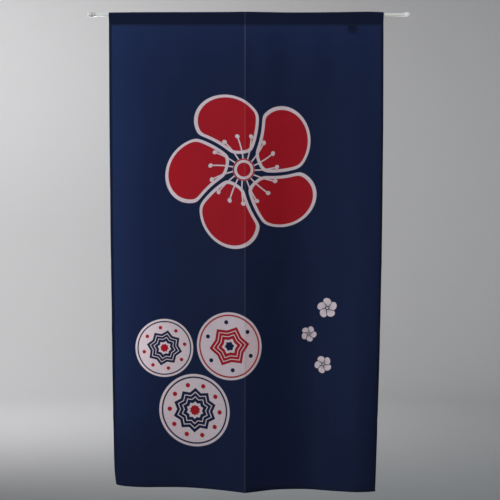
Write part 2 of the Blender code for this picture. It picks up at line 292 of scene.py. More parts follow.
def add_piece(name, points, faces, material, flat=None):
    """Adds a mesh object from points and faces, smoothly shaded, with the flat place of each point
    as its UV map where one is given."""
    mesh = bpy.data.meshes.new(name)
    mesh.from_pydata(points.reshape(-1, 3).tolist(), [], [list(face) for face in faces])
    mesh.validate()
    mesh.polygons.foreach_set("use_smooth", np.ones(len(mesh.polygons), dtype=bool))
    if flat is not None:
        corners = np.empty(len(mesh.loops), dtype=np.int32)
        mesh.loops.foreach_get("vertex_index", corners)
        layer = mesh.uv_layers.new(name=FLAT_MAP)
        layer.data.foreach_set("uv", flat.reshape(-1, 2)[corners].ravel())
    mesh.materials.append(material)
    piece = bpy.data.objects.new(name, mesh)
    bpy.context.scene.collection.objects.link(piece)
    return piece


# The cloth's shape


def smooth_through(places, values, at):
    """The smooth curve through the given values: a cubic between each two places, whose slope at
    a place is that of the parabola through it and its neighbours."""
    slopes = np.gradient(values, places, edge_order=2)
    i = np.clip(np.searchsorted(places, at) - 1, 0, len(places) - 2)
    span = places[i + 1] - places[i]
    t = (at - places[i]) / span
    start = (2 * t**3 - 3 * t**2 + 1) * values[i] + (t**3 - 2 * t**2 + t) * span * slopes[i]
    end = (3 * t**2 - 2 * t**3) * values[i + 1] + (t**3 - t**2) * span * slopes[i + 1]
    return start + end


def at_hem(along, column):
    """One column of the fold tables, as a length at each distance along the cloth."""
    sides = []
    for folds in (FOLDS_LEFT_OF_CREASE, FOLDS_RIGHT_OF_CREASE):
        places = np.array([fold.along for fold in folds]) * MM
        values = np.array([getattr(fold, column) for fold in folds]) * MM
        sides.append(smooth_through(places, values, along))
    return np.where(along < 0, sides[0], sides[1])


def main_forward(along, below):
    """Distance in front of the rod's axis of the main folds: the hem's folds times a power of the
    share of the height below the seam, less the corner's curl, which dies away from the edge and
    from the hem, plus the pressed ridge and the creases across, which die away from their lines."""
    rightwards = np.clip(along / RIGHT_EDGE, 0, 1)
    growth = GROWTH + (GROWTH_AT_RIGHT_EDGE - GROWTH) * rightwards
    folds = (below / HANGING_HEIGHT) ** growth * at_hem(along, "forward")
    ridge = CREASE_RIDGE * np.exp(-np.abs(along) / CREASE_FLANK)
    forward = folds + ridge * (1 - np.exp(-below / CREASE_START))
    from_edge = (along - LEFT_EDGE) / CORNER_CURL_ACROSS
    from_hem = (HANGING_HEIGHT - below) / CORNER_CURL_UP
    forward = forward - CORNER_CURL * np.exp(-from_edge - from_hem)
    rightness = (1 + np.tanh(along / CROSS_CREASE_TURN)) / 2
    for crease in CROSS_CREASES:
        height = (crease.left + (crease.right - crease.left) * rightness) * MM
        distance = np.abs(below - crease.below_rod * MM - SEAM_Z)
        forward = forward + height * np.exp(-distance / CROSS_CREASE_FLANK)
    return forward


def fine_forward(along, below):
    """Distance in front of the main folds of what is softer: the ripples, each a bell curve across
    times a bell curve down, the spring under the seam, and faint waves of the whole cloth, a sum
    of plane waves of drawn directions and lengths. All of it is nothing at the seam."""
    forward = SEAM_SPRING * (1 - np.exp(-below / SEAM_SPRING_REACH))
    for ripple in RIPPLES:
        across = (along - ripple.along * MM) / (ripple.half_width * MM)
        down = (below - ripple.below * MM) / (ripple.reach * MM)
        forward = forward + ripple.forward * MM * np.exp(-(across**2) - down**2)
    draw = np.random.default_rng(85)
    for _ in range(WAVES):
        heading = draw.uniform(-WAVE_SLANT, WAVE_SLANT)
        length = draw.uniform(*WAVE_LENGTHS) * MM
        phase = draw.uniform(0, math.tau)
        run = along * math.cos(heading) + below * math.sin(heading)
        forward = forward + WAVE_HEIGHT * np.sin(run * math.tau / length + phase)
    return forward * (1 - np.exp(-below / SEAM_FADE))


def hung_cloth(along, below):
    """The hanging cloth as a grid, a row for each height and a column for each distance along it.
    Each strip between two columns keeps its flat width, so the folds draw the edges in: its width
    seen from in front is the root of its flat width squared less its change in depth squared."""
    across, down = np.meshgrid(along, below)
    forward = main_forward(across, down) + fine_forward(across, down)
    steps = np.sqrt(np.diff(across, axis=1) ** 2 - np.diff(forward, axis=1) ** 2)
    run = np.concatenate([np.zeros((len(below), 1)), np.cumsum(steps, axis=1)], axis=1)
    crease_column = int(np.argmin(np.abs(along)))
    x = CREASE_X + run - run[:, crease_column : crease_column + 1]
    lower = down / HANGING_HEIGHT * at_hem(across, "lower")
    return np.stack([x, -forward, SEAM_Z - down - lower], axis=-1)


def tangent_angle(radius, y, z):
    """The angle round the rod, from +Y towards +Z, of the point where a line from the given point
    touches a circle round the rod's axis on the +Y side."""
    return math.atan2(z, y) + math.acos(radius / math.hypot(y, z))


def pocket_wall(x, radius, back_y):
    """The pocket as a grid of points, a row for each height, from its edge behind, up to the rod,
    over it and down the front to just above the seam. In a plane across the rod it is a short
    upright lap and two straight lines that touch a circle. It stands up off the rod by the lifts,
    in full at the top and not at all at the seam."""
    lap_z = SEAM_Z + POCKET_LAP
    back_angle = tangent_angle(radius, back_y, lap_z)
    front_angle = math.pi - tangent_angle(radius, 0.0, lap_z)
    turns = np.linspace(back_angle, front_angle, 29)
    arc = np.stack([radius * np.cos(turns), radius * np.sin(turns)], axis=-1)
    shares = np.linspace(0, 1, 8)[:, None]
    lap = np.array([[0.0, SEAM_Z], [0.0, SEAM_Z + POCKET_LAP / 2]])
    behind = np.array((back_y, 0.0))
    back_foot = np.array((back_y, lap_z))
    front_foot = np.array((0.0, lap_z))
    back = back_foot + (arc[0] - back_foot) * shares
    front = arc[-1] + (front_foot - arc[-1]) * shares
    section = np.concatenate([lap + behind, back[:-1], arc, front[1:], lap[:0:-1]])
    places = np.array([lift.x for lift in POCKET_LIFTS]) * MM
    lifts = smooth_through(places, np.array([lift.up for lift in POCKET_LIFTS]) * MM, x)
    grid = np.empty((len(section), len(x), 3))
    grid[..., 0] = x
    grid[..., 1] = section[:, :1]
    grid[..., 2] = section[:, 1:] + lifts * (section[:, 1:] - SEAM_Z) / POCKET_HEIGHT
    return grid


def spread(marks, longest):
    """The marks in order, with even steps no longer than the given length between them."""
    ordered = sorted(set(round(mark, 7) for mark in marks))
    places = [ordered[0]]
    for start, end in zip(ordered, ordered[1:]):
        steps = math.ceil((end - start) / longest - 1e-6)
        places.extend(start + (end - start) * i / steps for i in range(1, steps + 1))
    return np.array(places)


def hem_marks(width, thickness):
    """Distances from an edge of the columns or rows in a hem turned at that edge."""
    return (0.0, thickness, width / 3, width * 2 / 3, width)


HEM_STEPS = 4

Surface = namedtuple("Surface", "points normals along down")


def cloth_surface(cloth):
    """The cloth without its hems' turned layers, as a grid whose rows run from the pocket's edge
    behind, over the rod and down to the hem, with its outward normals and its flat places."""
    sides = hem_marks(cloth.side_hem, cloth.thickness)
    columns = [LEFT_EDGE + place for place in sides] + [RIGHT_EDGE - place for place in sides]
    for place in (0.0, 0.8 * MM, 2.5 * MM, 6 * MM, 12 * MM):
        columns += [-place, place]
    along = spread(columns, cloth.column_step)

    rows = [HANGING_HEIGHT - place for place in hem_marks(cloth.bottom_hem, cloth.thickness)]
    rows += [0.0, 2 * MM, 5 * MM, 10 * MM]
    for crease in CROSS_CREASES:
        middle = crease.below_rod * MM + SEAM_Z
        rows += [middle + place for place in (0.0, -1.5 * MM, 1.5 * MM, -4.5 * MM, 4.5 * MM)]
    below = spread(rows, cloth.row_step)

    hanging = hung_cloth(along, below)
    radius = ROD_RADIUS + 0.5 * MM + cloth.thickness
    pocket = pocket_wall(hanging[0, :, 0], radius, cloth.thickness * 5)
    points = np.concatenate([pocket, hanging])
    climbs = np.linalg.norm(np.diff(points[: len(pocket) + 1, 0], axis=0), axis=-1)
    down = np.concatenate([-np.cumsum(climbs[::-1])[::-1], below])
    normals = np.cross(np.gradient(points, axis=0), np.gradient(points, axis=1))
    normals /= np.linalg.norm(normals, axis=-1, keepdims=True)
    return Surface(points, normals, along, down)


def hemmed(surface, cloth):
    """The surface as one grid with its hems turned back behind it, and each point's flat place. A
    turned layer lies a little more than the cloth's thickness behind the layer before it, and
    where the bottom hem crosses a side hem there are four layers."""
    columns, rows = len(surface.along), len(surface.down)
    back = np.arange(HEM_STEPS, 0, -1)
    column = np.concatenate([back, np.arange(columns), columns - 1 - back[::-1]])
    row = np.concatenate([np.arange(rows), rows - 1 - back[::-1]])
    side_layer = np.zeros(len(column))
    side_layer[:HEM_STEPS] = side_layer[-HEM_STEPS:] = 1.0
    side_layer[HEM_STEPS] = side_layer[-HEM_STEPS - 1] = 0.5
    bottom_layer = np.zeros(len(row))
    bottom_layer[-HEM_STEPS:] = 1.0
    bottom_layer[-HEM_STEPS - 1] = 0.5

    along = surface.along[column]
    from_side = np.minimum(along - LEFT_EDGE, RIGHT_EDGE - along)
    turned_up = np.where(from_side < cloth.side_hem + 0.1 * MM, 3 - side_layer, 1.0)
    depth = np.outer(1 - bottom_layer, side_layer) + np.outer(bottom_layer, turned_up)
    gap = cloth.thickness * 1.3
    points = surface.points[np.ix_(row, column)]
    points = points - surface.normals[np.ix_(row, column)] * (gap * depth)[..., None]

    flat_along = along.copy()
    flat_along[:HEM_STEPS] = 2 * LEFT_EDGE - along[:HEM_STEPS]
    flat_along[-HEM_STEPS:] = 2 * RIGHT_EDGE - along[-HEM_STEPS:]
    flat_down = surface.down[row]
    flat_down[-HEM_STEPS:] = 2 * HANGING_HEIGHT - flat_down[-HEM_STEPS:]
    flat = np.stack(np.meshgrid(flat_along, flat_down), axis=-1)
    return points, flat


def on_cloth(surface, along, down):
    """Points and normals of the surface at the given flat places, each a weighted mean of the four
    grid points round it."""
    column = np.interp(along, surface.along, np.arange(len(surface.along)))
    row = np.interp(down, surface.down, np.arange(len(surface.down)))
    c = np.minimum(column.astype(int), len(surface.along) - 2)
    r = np.minimum(row.astype(int), len(surface.down) - 2)
    s, t = (column - c)[..., None], (row - r)[..., None]
    found = []
    for grid in (surface.points, surface.normals):
        upper = grid[r, c] * (1 - s) + grid[r, c + 1] * s
        lower = grid[r + 1, c] * (1 - s) + grid[r + 1, c + 1] * s
        found.append(upper * (1 - t) + lower * t)
    return found


# Stitches

STITCH_SIDES = 5
STITCH_RINGS = np.array((-1.0, -0.72, 0.0, 0.72, 1.0))


def stitch_row(surface, stitch, start, end, depth):
    """A row of stitches between two flat places, at a depth behind the cloth's outer face. Each is
    a bar of thread whose radius falls from its middle to its ends as the fourth root of one less
    the fourth power of the share of its half length, and is never under a quarter."""
    length = math.dist(start, end)
    middles = np.arange(stitch.pitch / 2, length, stitch.pitch)
    run = (middles[:, None] + STITCH_RINGS * stitch.length / 2) / length
    along = start[0] + (end[0] - start[0]) * run
    down = start[1] + (end[1] - start[1]) * run
    points, normals = on_cloth(surface, along, down)
    points = points - normals * depth
    ahead = points[:, -1:] - points[:, :1]
    ahead = ahead / np.linalg.norm(ahead, axis=-1, keepdims=True)
    aside = np.cross(ahead, normals)
    radius = stitch.thread / 2 * np.maximum((1 - STITCH_RINGS**4), 0.004) ** 0.25
    turns = np.arange(STITCH_SIDES) * math.tau / STITCH_SIDES
    ring = normals[:, :, None] * np.cos(turns)[:, None] + aside[:, :, None] * np.sin(turns)[:, None]
    return points[:, :, None] + ring * radius[:, None, None]


def stitch_faces(count):
    """The faces of that many stitches: quads round each, and a pentagon at each end."""
    rings = len(STITCH_RINGS)
    index = np.arange(rings * STITCH_SIDES).reshape(rings, STITCH_SIDES)
    beside = np.roll(index, -1, axis=1)
    quads = np.stack([index[:-1], index[1:], beside[1:], beside[:-1]], axis=-1).reshape(-1, 4)
    starts = np.arange(count)[:, None, None] * rings * STITCH_SIDES
    ends = np.stack([index[0], index[-1, ::-1]])
    return (quads + starts).reshape(-1, 4).tolist() + (ends + starts).reshape(-1, STITCH_SIDES).tolist()


# Turned pieces


def turned_piece(name, profile, sides, material, mirrored=False):
    """A profile of places along the rod and radii, carried round the rod's axis and closed on
    itself. An end on the axis becomes a small flat disc."""
    profile = np.array(profile)
    turns = np.arange(sides) * math.tau / sides
    radius = profile[:, 1:2]
    x = np.repeat(profile[:, :1], sides, axis=1)
    points = np.stack([x, radius * np.cos(turns), radius * np.sin(turns)], axis=-1)
    count = len(profile)
    index = np.arange(count * sides).reshape(count, sides)
    beside = np.roll(index, -1, axis=1)
    ring = profile[0, 1] > 1 * MM
    upper, lower = (index, np.roll(index, -1, axis=0)) if ring else (index[:-1], index[1:])
    upper_next, lower_next = (beside, np.roll(beside, -1, axis=0)) if ring else (beside[:-1], beside[1:])
    faces = np.stack([upper, upper_next, lower_next, lower], axis=-1).reshape(-1, 4).tolist()
    if not ring:
        faces += [index[0, ::-1].tolist(), index[-1].tolist()]
    if mirrored:
        points[..., 0] *= -1
        faces = [face[::-1] for face in faces]
    return add_piece(name, points, faces, material)


def rounded(centre, radius, start, end, steps):
    """Points on an arc, each a place along the rod and a radius from its axis. Angles run from the
    rod's direction towards outwards."""
    turns = np.linspace(start, end, steps)
    return [(centre[0] + radius * math.cos(a), centre[1] + radius * math.sin(a)) for a in turns]


# Material nodes


class Term:
    """A number in a node tree. Arithmetic on terms adds Math nodes to the tree."""

    def __init__(self, tree, value):
        self.tree = tree
        self.value = value

    def math(self, operation, *others, clamp=False):
        node = self.tree.nodes.new("ShaderNodeMath")
        node.operation = operation
        node.use_clamp = clamp
        for i, term in enumerate((self, *others)):
            connect(self.tree, term, node.inputs[i])
        return Term(self.tree, node.outputs[0])

    def __add__(self, other):
        return self.math("ADD", other)

    def __sub__(self, other):
        return self.math("SUBTRACT", other)

    def __rsub__(self, other):
        return Term(self.tree, other).math("SUBTRACT", self)

    def __mul__(self, other):
        return self.math("MULTIPLY", other)

    def __truediv__(self, other):
        return self.math("DIVIDE", other)

    def __rtruediv__(self, other):
        return Term(self.tree, other).math("DIVIDE", self)

    __radd__ = __add__
    __rmul__ = __mul__

    def cover(self, softness=0.7 * MM):
        """One where this distance is below zero, nothing where it is above, and soft between."""
        return self.math("MULTIPLY_ADD", -0.5 / softness, 0.5, clamp=True)


def connect(tree, source, target):
    """Joins a term, a socket or a plain value to an input."""
    value = source.value if isinstance(source, Term) else source
    if isinstance(value, bpy.types.NodeSocket):
        tree.links.new(value, target)
    else:
        target.default_value = value


def distance(x, y):
    """The length of a flat vector given by two terms."""
    return (x * x + y * y).math("SQRT")


def add_node(tree, kind, inputs=(), **settings):
    """A node with some of its settings and inputs given."""
    node = tree.nodes.new("ShaderNode" + kind)
    for name, value in settings.items():
        setattr(node, name, value)
    for name, value in dict(inputs).items():
        connect(tree, value, node.inputs[name])
    return node


def mix_colours(tree, factor, first, second, blend="MIX"):
    """The first colour with the second over it by the factor."""
    node = add_node(tree, "Mix", data_type="RGBA", blend_type=blend)
    connect(tree, factor, node.inputs[0])
    connect(tree, first, node.inputs[6])
    connect(tree, second, node.inputs[7])
    return node.outputs[2]


def arrange(tree):
    """Sets the nodes out in columns of eight, in the order in which they were added."""
    for i, node in enumerate(tree.nodes):
        node.location = (i // 8 * 220, -(i % 8) * 190)


def new_group(name, inputs, outputs):
    """An empty node group, and its inputs as a dict of sockets. Each input has a default, or None
    for a colour, and each output a socket type."""
    tree = bpy.data.node_groups.new(name, "ShaderNodeTree")
    for label, default in inputs.items():
        socket = tree.interface.new_socket(label, in_out="INPUT", socket_type="NodeSocketFloat")
        socket.default_value = default
    for label, kind in outputs.items():
        tree.interface.new_socket(label, in_out="OUTPUT", socket_type="NodeSocket" + kind)
    entry = tree.nodes.new("NodeGroupInput")
    return tree, {label: Term(tree, entry.outputs[label]) for label in inputs}


def close_group(tree, results):
    """Joins the results to the group's outputs."""
    leave = tree.nodes.new("NodeGroupOutput")
    for label, value in results.items():
        connect(tree, value, leave.inputs[label])
    arrange(tree)
    return tree


def place_group(tree, group, **inputs):
    """A group placed in a tree, with its inputs given by name, a space written as an underscore."""
    node = tree.nodes.new("ShaderNodeGroup")
    node.node_tree = group
    for label, value in inputs.items():
        connect(tree, value, node.inputs[label.replace("_", " ")])
    return node


PLACE = {"Along": 0.0, "Below": 0.0, "Centre Along": 0.0, "Centre Below": 0.0, "Radius": 0.1, "Turn": 0.0}


def polar(given):
    """The distance and the angle of the place from the motif's middle, with its turn added."""
    x = given["Along"] - given["Centre Along"]
    y = given["Below"] - given["Centre Below"]
    return distance(x, y), y.math("ARCTAN2", x) - given["Turn"]


def blossom_group():
    """A plum blossom of five round petals with a swirl. In each fifth of the turn, folded on its
    middle line, a petal is a disc whose middle is at 0.6 of the radius, cut off at the gap beside
    the fold. Its details are a ring at the middle, and fifteen stamens, each a line and a dot."""
    tree, given = new_group(
        "Plum blossom",
        {**PLACE, "Swirl": 0.0, "Gap": 0.01, "Outline": 0.0},
        {"Cover": "Float", "Inner": "Float", "Detail": "Float"},
    )
    whole = given["Radius"]
    r, angle = polar(given)
    angle = angle + given["Swirl"] * (r / whole)
    fold = angle.math("PINGPONG", math.pi / 5)
    petal_x = r * fold.math("COSINE") - whole * 0.6
    petal = distance(petal_x, r * fold.math("SINE")) - whole * 0.4
    beside = given["Gap"] / 2 - r * (math.pi / 5 - fold).math("SINE")
    shape = petal.math("SMOOTH_MAX", beside, whole * 0.05)
    stamen_fold = angle.math("PINGPONG", math.pi / 15)
    stamen_y = r * stamen_fold.math("SINE")
    reach = (r - whole * 0.27).math("ABSOLUTE") - whole * 0.13
    stamen = (stamen_y - whole * 0.0085).math("MAXIMUM", reach)
    dot_x = r * stamen_fold.math("COSINE") - whole * 0.425
    dot = distance(dot_x, stamen_y) - whole * 0.027
    ring = (r - whole * 0.105).math("ABSOLUTE") - whole * 0.017
    detail = stamen.math("MINIMUM", dot).math("MINIMUM", ring)
    heart = (r - whole * 0.14).cover()
    cover = shape.cover().math("MAXIMUM", heart)
    inner = (shape + given["Outline"]).cover().math("MAXIMUM", heart)
    return close_group(tree, {"Cover": cover, "Inner": inner, "Detail": detail.cover()})


def thread_ball_group():
    """A thread ball, wound in two colours. Its star bands lie, in each fold of the turn, where the
    distance across plus 0.9 of the distance aside is between two shares of the radius. A ring runs
    near its rim, with dots inside it."""
    tree, given = new_group(
        "Thread ball",
        {**PLACE, "Points": 8.0},
        {"Cover": "Float", "Main": "Float", "Accent": "Float"},
    )
    whole = given["Radius"]
    r, angle = polar(given)
    half = math.pi / given["Points"]
    fold = angle.math("PINGPONG", half)
    star = r * (fold.math("COSINE") + fold.math("SINE") * 0.9)

    def band(measure, middle, half_width):
        return (measure - whole * middle).math("ABSOLUTE") - whole * half_width

    line = band(star, 0.50, 0.016).math("MINIMUM", band(star, 0.37, 0.016))
    main = band(star, 0.43, 0.19).math("MAXIMUM", line * -1.0).math("MINIMUM", band(r, 0.91, 0.022))
    between = (angle + half).math("PINGPONG", half)
    dot_x = r * between.math("COSINE") - whole * 0.71
    dot = distance(dot_x, r * between.math("SINE")) - whole * 0.062
    accent = (star - whole * 0.15).math("MINIMUM", dot)
    cover = (r - whole).cover()
    return close_group(tree, {"Cover": cover, "Main": main.cover(), "Accent": accent.cover()})


def weave_group():
    """Plain weave with uneven threads. The height is the product of two sine waves, one across and
    one down, whose places are shifted by noise, plus streaks of thicker thread in both directions.
    The shade is near one, and varies with the streaks and with slow clouds of the dye."""
    tree, given = new_group(
        "Plain weave", {"Along": 0.0, "Below": 0.0, "Pitch": 0.001}, {"Height": "Float", "Shade": "Float"}
    )
    along, below = given["Along"], given["Below"]

    def noise(scale_along, scale_below, detail):
        place = add_node(tree, "CombineXYZ")
        connect(tree, along * scale_along, place.inputs["X"])
        connect(tree, below * scale_below, place.inputs["Y"])
        node = add_node(tree, "TexNoise", {"Scale": 1.0, "Detail": detail})
        tree.links.new(place.outputs[0], node.inputs["Vector"])
        return Term(tree, node.outputs["Fac"]) - 0.5

    sway = noise(60, 60, 1.0) * (2 * MM)
    warp = ((along + sway) * math.tau / given["Pitch"]).math("SINE")
    weft = ((below + sway) * math.tau / given["Pitch"]).math("SINE")
    upright = noise(900, 30, 2.0)
    level = noise(30, 900, 2.0)
    clouds = noise(7, 5, 3.0)
    height = warp * weft * 0.35 + (upright + level) * 1.6
    shade = (upright + level) * 0.34 + clouds * 0.20 + 1.0
    return close_group(tree, {"Height": height, "Shade": shade})


def handling_group():
    """Marks of handling on a hard finish: slow clouds of grease and fine specks, on Object
    coordinates. The mask is near nothing on a clean place, and the height is of a fine ripple."""
    tree, given = new_group("Handling", {"Size": 0.02}, {"Mask": "Float", "Height": "Float"})
    place = add_node(tree, "TexCoord").outputs["Object"]
    clouds = add_node(tree, "TexNoise", {"Vector": place, "Detail": 4.0})
    connect(tree, 1 / given["Size"], clouds.inputs["Scale"])
    specks = add_node(tree, "TexNoise", {"Vector": place, "Detail": 2.0})
    connect(tree, 22 / given["Size"], specks.inputs["Scale"])
    cloud = Term(tree, clouds.outputs["Fac"])
    speck = Term(tree, specks.outputs["Fac"])
    mask = ((cloud - 0.45) * 2.2).math("ADD", (speck - 0.62) * 3.0, clamp=True)
    return close_group(tree, {"Mask": mask, "Height": speck})


def new_material(name):
    """An empty node material with its output node."""
    material = bpy.data.materials.new(name)
    material.use_nodes = True
    material.node_tree.nodes.clear()
    return material, material.node_tree


def close_material(material, tree, surface):
    """Joins the surface shader to the material's output."""
    leave = add_node(tree, "OutputMaterial")
    tree.links.new(surface, leave.inputs["Surface"])
    arrange(tree)
    return material


def opaque(colour):
    """A colour with full alpha."""
    return (*colour, 1.0)


def printed_colour(tree, cloth, along, below):
    """The cloth's colour: the navy ground with the blossoms and the thread balls over it."""
    colour = opaque(cloth.navy)
    white, red, navy = opaque(cloth.white), opaque(cloth.red), opaque(cloth.navy)
    blossom = bpy.data.node_groups.get("Plum blossom") or blossom_group()
    ball = bpy.data.node_groups.get("Thread ball") or thread_ball_group()

    def motif(group, given, **more):
        return place_group(
            tree,
            group,
            Along=along,
            Below=below,
            Centre_Along=given.along * MM,
            Centre_Below=given.below * MM,
            Radius=given.radius * MM,
            Turn=math.radians(given.turn),
            **more,
        )

    swirl = math.radians(LARGE_BLOSSOM.swirl)
    large = motif(blossom, LARGE_BLOSSOM, Swirl=swirl, Gap=cloth.gap, Outline=cloth.outline)
    colour = mix_colours(tree, large.outputs["Cover"], colour, white)
    colour = mix_colours(tree, large.outputs["Inner"], colour, red)
    colour = mix_colours(tree, large.outputs["Detail"], colour, white)
    for given in SMALL_BLOSSOMS:
        small = motif(blossom, given, Swirl=math.radians(given.swirl), Gap=2 * MM, Outline=0.0)
        colour = mix_colours(tree, small.outputs["Cover"], colour, white)
        colour = mix_colours(tree, small.outputs["Detail"], colour, navy)
    inks = {"red": red, "navy": navy}
    for given in THREAD_BALLS:
        wound = motif(ball, given, Points=float(given.points))
        colour = mix_colours(tree, wound.outputs["Cover"], colour, white)
        colour = mix_colours(tree, wound.outputs["Main"], colour, inks[given.main])
        colour = mix_colours(tree, wound.outputs["Accent"], colour, inks[given.accent])
    return colour


def cloth_material(name, cloth, depth_of_print):
    """Thin printed plain weave. Part of the light passes through it, and light that is already
    inside the cloth leaves it freely, so the two faces together count as one layer."""
    material, tree = new_material(name)
    flat = add_node(tree, "UVMap", uv_map=FLAT_MAP)
    parts = add_node(tree, "SeparateXYZ", {"Vector": flat.outputs["UV"]})
    along, below = Term(tree, parts.outputs["X"]), Term(tree, parts.outputs["Y"])
    weave = bpy.data.node_groups.get("Plain weave") or weave_group()
    threads = place_group(tree, weave, Along=along, Below=below, Pitch=cloth.weave_pitch)
    print_colour = printed_colour(tree, cloth, along, below)
    colour = mix_colours(tree, depth_of_print, opaque(cloth.navy), print_colour)
    # A pale line painted down the pressed crease: partly dye rubbed off its edge, partly a painted highlight
    # on the ridge.
    rubbed_and_highlit_crease = (along.math("ABSOLUTE") - 0.9 * MM).cover() * 0.10
    colour = mix_colours(tree, rubbed_and_highlit_crease, colour, opaque(cloth.white))
    shade = add_node(tree, "CombineColor")
    for channel in ("Red", "Green", "Blue"):
        tree.links.new(threads.outputs["Shade"], shade.inputs[channel])
    colour = mix_colours(tree, 1.0, colour, shade.outputs[0], blend="MULTIPLY")

    bump = add_node(
        tree, "Bump", {"Strength": 0.45, "Distance": 0.12 * MM, "Height": threads.outputs["Height"]}
    )
    face = add_node(tree, "BsdfPrincipled")
    settings = {
        "Base Color": colour,
        "Normal": bump.outputs["Normal"],
        "Roughness": 0.82,
        "Specular IOR Level": 0.25,
        "Sheen Weight": 0.06,
        "Sheen Roughness": 0.45,
        "Sheen Tint": (0.62, 0.70, 1.0, 1.0),
    }
    for label, value in settings.items():
        connect(tree, value, face.inputs[label])
    through = add_node(tree, "BsdfTranslucent", {"Color": colour, "Normal": bump.outputs["Normal"]})
    sheer = add_node(tree, "MixShader", {0: cloth.sheerness})
    tree.links.new(face.outputs[0], sheer.inputs[1])
    tree.links.new(through.outputs[0], sheer.inputs[2])
    inside = add_node(tree, "NewGeometry").outputs["Backfacing"]
    clear = add_node(tree, "BsdfTransparent")
    whole = add_node(tree, "MixShader", {0: inside})
    tree.links.new(sheer.outputs[0], whole.inputs[1])
    tree.links.new(clear.outputs[0], whole.inputs[2])
    return close_material(material, tree, whole.outputs[0])


def plain_material(name, colour, roughness, texture, sheen=0.0, coat=0.0):
    """A one-colour finish. The texture adds its own nodes and gives back a mask that darkens the
    colour and roughens it, a height, and how far the height stands out."""
    material, tree = new_material(name)
    mask, height, stands_out = texture(tree)
    dark = tuple(channel * 0.78 for channel in colour)
    shade = mix_colours(tree, mask, opaque(colour), opaque(dark))
    rough = Term(tree, mask) * 0.18 + roughness
    bump = add_node(tree, "Bump", {"Strength": 0.5, "Distance": stands_out, "Height": height})
    face = add_node(tree, "BsdfPrincipled", {"Base Color": shade, "Normal": bump.outputs["Normal"]})
    connect(tree, rough, face.inputs["Roughness"])
    face.inputs["Sheen Weight"].default_value = sheen
    face.inputs["Coat Weight"].default_value = coat
    return close_material(material, tree, face.outputs[0])


def handled(size, stands_out):
    """A texture of handling marks of that size."""

    def texture(tree):
        group = bpy.data.node_groups.get("Handling") or handling_group()
        node = place_group(tree, group, Size=size)
        return node.outputs["Mask"], node.outputs["Height"], stands_out

    return texture


def rolled_paint(tree):
    """A texture of rolled paint: a very faint, fine unevenness on Object coordinates."""
    place = add_node(tree, "TexCoord").outputs["Object"]
    grain = add_node(tree, "TexNoise", {"Vector": place, "Scale": 60.0, "Detail": 3.0})
    return (Term(tree, grain.outputs["Fac"]) * 0.08).value, grain.outputs["Fac"], 0.2 * MM


def twisted_thread(tree):
    """A texture of two plies twisted together: waves that run askew on Object coordinates."""
    place = add_node(tree, "TexCoord").outputs["Object"]
    wave = add_node(
        tree, "TexWave", {"Vector": place, "Scale": 900.0, "Distortion": 1.5}, bands_direction="DIAGONAL"
    )
    return wave.outputs["Fac"], wave.outputs["Fac"], 0.06 * MM


def satin_tape(tree):
    """A texture of close woven ribs across the label, with slow unevenness."""
    place = add_node(tree, "TexCoord").outputs["Object"]
    ribs = add_node(
        tree, "TexWave", {"Vector": place, "Scale": 420.0, "Distortion": 0.8}, bands_direction="Z"
    )
    clouds = add_node(tree, "TexNoise", {"Vector": place, "Scale": 160.0, "Detail": 3.0})
    mask = (Term(tree, ribs.outputs["Fac"]) * 0.4).math("ADD", clouds.outputs["Fac"], clamp=True) * 0.5
    return mask.value, ribs.outputs["Fac"], 0.05 * MM


# Pieces


class NOREN_OT_cloth(bpy.types.Operator):
    """Hang the printed cloth, with its pocket over the rod and its hems turned back"""

    bl_idname = "noren.cloth"
    bl_label = "Hang the cloth"

    def execute(self, context):
        cloth = context.scene.noren_cloth
        surface = cloth_surface(cloth)
        points, flat = hemmed(surface, cloth)
        front = cloth_material("printed cloth, right side", cloth, 1.0)
        piece = add_piece("curtain_sheet", points, grid_faces(*points.shape[:2]), front, flat)
        piece.data.materials.append(cloth_material("printed cloth, wrong side", cloth, 0.9))
        wall = piece.modifiers.new("thickness", "SOLIDIFY")
        wall.thickness = cloth.thickness
        wall.offset = 0.0
        wall.material_offset = 1
        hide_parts("curtain_cloth")
        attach(piece, BODY)
        return {"FINISHED"}


class NOREN_OT_stitching(bpy.types.Operator):
    """Sew the pocket and the hems with rows of stitches on both sides of the cloth"""

    bl_idname = "noren.stitching"
    bl_label = "Sew the seams"

    def execute(self, context):
        cloth, stitch = context.scene.noren_cloth, context.scene.noren_stitch
        surface = cloth_surface(cloth)
        thread = plain_material("sewing thread", tuple(stitch.colour), 0.7, twisted_thread, sheen=0.3)
        face = -cloth.thickness / 2
        behind = cloth.thickness * 1.8
        left, right = LEFT_EDGE + 2 * MM, RIGHT_EDGE - 2 * MM
        lap = POCKET_LAP / 2
        pocket_edge = surface.down[0] + lap
        hem = HANGING_HEIGHT - cloth.bottom_hem + stitch.from_edge
        rows = {"pocket_stitching": [((left, -lap), (right, -lap), face)]}
        rows["pocket_stitching"].append(((left, pocket_edge), (right, pocket_edge), face))
        rows["hem_stitching"] = [((left, hem), (right, hem), depth) for depth in (face, behind)]
        rows["side_stitching"] = []
        for edge, inwards in ((LEFT_EDGE, 1), (RIGHT_EDGE, -1)):
            place = edge + inwards * (cloth.side_hem - stitch.from_edge)
            top, bottom = (place, 1 * MM), (place, HANGING_HEIGHT - 2 * MM)
            rows["side_stitching"] += [(top, bottom, depth) for depth in (face, behind)]
        for name, runs in rows.items():
            stitches = [stitch_row(surface, stitch, *run) for run in runs]
            points = np.concatenate(stitches)
            piece = add_piece(name, points, stitch_faces(len(points)), thread)
            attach(piece, BODY)
        return {"FINISHED"}


